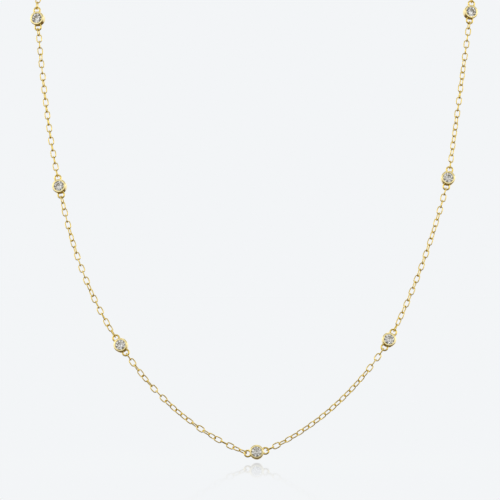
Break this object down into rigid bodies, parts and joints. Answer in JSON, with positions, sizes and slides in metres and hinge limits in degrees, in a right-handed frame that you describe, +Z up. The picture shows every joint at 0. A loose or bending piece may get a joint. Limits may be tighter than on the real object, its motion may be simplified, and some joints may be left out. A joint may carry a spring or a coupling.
{
  "type": "station necklace",
  "caption": "Fine cable chain necklace with round clear stones in plain bezel cups set at even spaces, closed by a ring clasp at the nape.",
  "frame": {"origin": "middle of the nape, on the line of the chain, at the centre of the clasp's ring", "axes": "+Z up, -Y towards the middle of the front, +X towards the right as seen from the front"},
  "size_m": [0.1205, 0.0823, 0.1457],
  "materials": {
    "gold": "polished 14 carat yellow gold",
    "stone": "polished clear cubic zirconia, round brilliant cut"
  },
  "bodies": {
    "root": {"setting_1": "gold", "stone_1": "stone", "setting_2": "gold", "stone_2": "stone", "setting_3": "gold", "stone_3": "stone", "setting_4": "gold", "stone_4": "stone", "setting_5": "gold", "stone_5": "stone", "setting_6": "gold", "stone_6": "stone", "setting_7": "gold", "stone_7": "stone", "chain_left": "gold", "chain_right": "gold", "end_ring": "gold", "clasp": "gold"}
  },
  "joints": []
}
